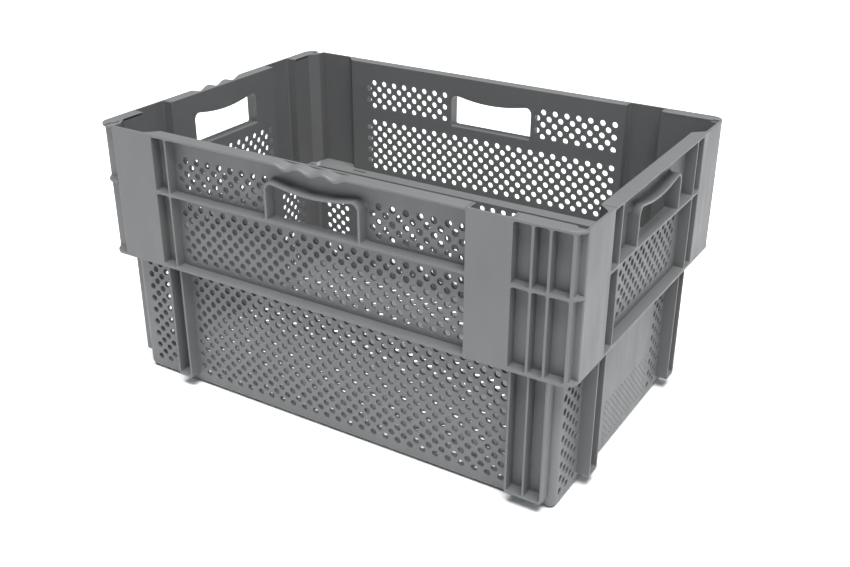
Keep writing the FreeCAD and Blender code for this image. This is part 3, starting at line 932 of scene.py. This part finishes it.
def cornerFlange(side, start, sign):  # the wide rim, rounded with the corner
    reach = reachOf(side)
    other = halfLength + halfWidth - reach
    inner = reach - halfWidth + collarIn
    bend = other - outerCorner
    jog = inner + 3.4
    corners = [(start, inner, 0), (start, reach, 0)]
    corners += [(a, b, 0) for a, b in arcPoints((bend, reach - outerCorner), outerCorner, 90, 18, 8)]
    corners += [(other - 0.4, jog, 0), (other - 11, jog, 2.0), (other - 13, inner, 2.0)]
    rounded = soft(corners)
    return slab(rounded, [], rimLow, rimTop, lambda a, b, d: at(side, sign * a, d, b), 0.5, 1.0, 3)


for side in ("front", "back"):
    solid = together(ribbedCorner(side, rightPlateEnd, frontRibs, 1), cornerFlange(side, rightPlateEnd, 1))
    addPiece(side + "RightCorner", solid, [side + "_right_corner"])
    sign = leftCorners[side]
    lattice = ribbedCorner("left", leftEndPlateEnd, leftRibs, sign)
    solid = together(lattice, cornerFlange("left", leftEndPlateEnd, sign))
    addPiece(side + "LeftCorner", solid, [side + "_left_corner"])
print("ribbed corners")

rimLook = {"lipRound": 1.4, "innerRound": 0.6}


def rimProfile(reach):
    inner = reach - halfWidth + collarIn
    lip, ease = rimLook["lipRound"], rimLook["innerRound"]
    profile = [(inner, rimLow)]
    profile += arcPoints((inner + ease, rimTop - ease), ease, 180, 90, 2)
    profile += [(inner + wall, rimTop), (inner + wall + 0.2, rimTop), ((inner + reach) / 2, rimTop)]
    profile += arcPoints((reach - lip, rimTop - lip), lip, 90, 0, 4)
    profile += arcPoints((reach - 0.8, rimLow + 0.8), 0.8, 0, -90, 2)
    profile += [(inner + wall + 0.2, rimLow), (inner + wall, rimLow)]
    return profile


def rimFlange(side, start, end, scooped):
    reach = reachOf(side)
    half = scoopLook["pitch"] * scoopLook["count"] / 2
    stations = [start, end]
    if scooped:
        steps = 54
        stations = [start] + [-half + 2 * half * k / steps for k in range(steps + 1)] + [end]
    rings = []
    for a in stations:
        ring = []
        for out, up in rimProfile(reach):
            dip = scoopDip(a, out - 0.001, reach) if scooped else 0
            ring.append(at(side, a, up - dip, out))
        rings.append(ring)
    return sweep(rings)


def slantWeb(side, edge, toward):  # fills the rim where a plate leans back
    reach = reachOf(side)
    inner = reach - halfWidth + collarIn
    plate = reach - halfWidth + plateIn
    corners = [
        (edge, inner + 0.1, 0.0), (edge, plate + 1.5, 0), (edge - toward * 13, plate + 1.5, 0),
        (edge - toward * 13, plate + 0.1, 0), (edge - toward * 9, plate - 1.5, 0),
    ]
    return slab(soft(corners), [], rimLow, rimTop - 0.15, lambda a, b, d: at(side, a, d, b), 0.3, 0.4)


for side in ("front", "back"):
    flange = rimFlange(side, leftPlateEnd, rightPlateStart, side == "front")
    solid = together(flange, slantWeb(side, leftPlateEnd, 1))
    addPiece(side + "Rim", solid, [side + "_rim"], True)
solid = together(rimFlange("right", -rightEndPlate, rightEndPlate, False),
                 slantWeb("right", rightEndPlate, -1), slantWeb("right", -rightEndPlate, 1))
addPiece("rightRim", solid, ["right_rim"])
addPiece("leftRim", rimFlange("left", -leftEndPlateStart, leftEndPlateStart, True), ["left_rim"], True)
print("rims", len(pieces), "pieces")

cameraLook = {
    "place": (0.62946, -1.00224, 0.69135),
    "forward": (-0.46929, 0.765595, -0.440035),
    "across": (0.851665, 0.524075, 0.003526),
    "focal": 45.3722,
}
camera = bpy.data.cameras.new("studioCamera")
camera.lens = cameraLook["focal"]
camera.sensor_width = 36
cameraObject = bpy.data.objects.new("studioCamera", camera)
bpy.context.scene.collection.objects.link(cameraObject)
forward = Vector(cameraLook["forward"]).normalized()
across = Vector(cameraLook["across"]).normalized()
upward = across.cross(forward).normalized()
across = forward.cross(upward).normalized()
turn = Matrix((across, upward, -forward)).transposed().to_4x4()
cameraObject.matrix_world = Matrix.Translation(Vector(cameraLook["place"])) @ turn
bpy.context.scene.camera = cameraObject

studioLook = {
    "sky": 0.2,
    "skyColour": (0.68, 0.88, 1.0),
    "floor": (0.86, 0.86, 0.86),
    "floorSize": 12.0,
}
bpy.context.scene.view_settings.view_transform = "Standard"
world = bpy.data.worlds.new("studio")
bpy.context.scene.world = world
world.use_nodes = True
world.node_tree.nodes["Background"].inputs[0].default_value = (*studioLook["skyColour"], 1)
world.node_tree.nodes["Background"].inputs[1].default_value = studioLook["sky"]


def skyLight(name, direction, spread, strength):
    light = bpy.data.lights.new(name, "SUN")
    light.angle = math.radians(spread)
    light.energy = strength
    lamp = bpy.data.objects.new(name, light)
    bpy.context.scene.collection.objects.link(lamp)
    lamp.rotation_euler = Vector(direction).to_track_quat("-Z", "Y").to_euler()
    return lamp


skyLight("overhead", (-0.15, 0.18, -1), 40, 7.2)
skyLight("rightSide", (-1, 0.35, -0.5), 40, 0.6)

floorMesh = bpy.data.meshes.new("studioFloor")
half = studioLook["floorSize"] / 2
floorCorners = [(-half, -half, 0), (half, -half, 0), (half, half, 0), (-half, half, 0)]
floorMesh.from_pydata(floorCorners, [], [(0, 1, 2, 3)])
floorObject = bpy.data.objects.new("studioFloor", floorMesh)
bpy.context.scene.collection.objects.link(floorObject)
floorObject.location.z = -0.0005
paper = bpy.data.materials.new("studioPaper")
paper.use_nodes = True
paperShader = paper.node_tree.nodes["Principled BSDF"]
paperShader.inputs["Base Color"].default_value = (*studioLook["floor"], 1)
paperShader.inputs["Roughness"].default_value = 0.9
floorMesh.materials.append(paper)
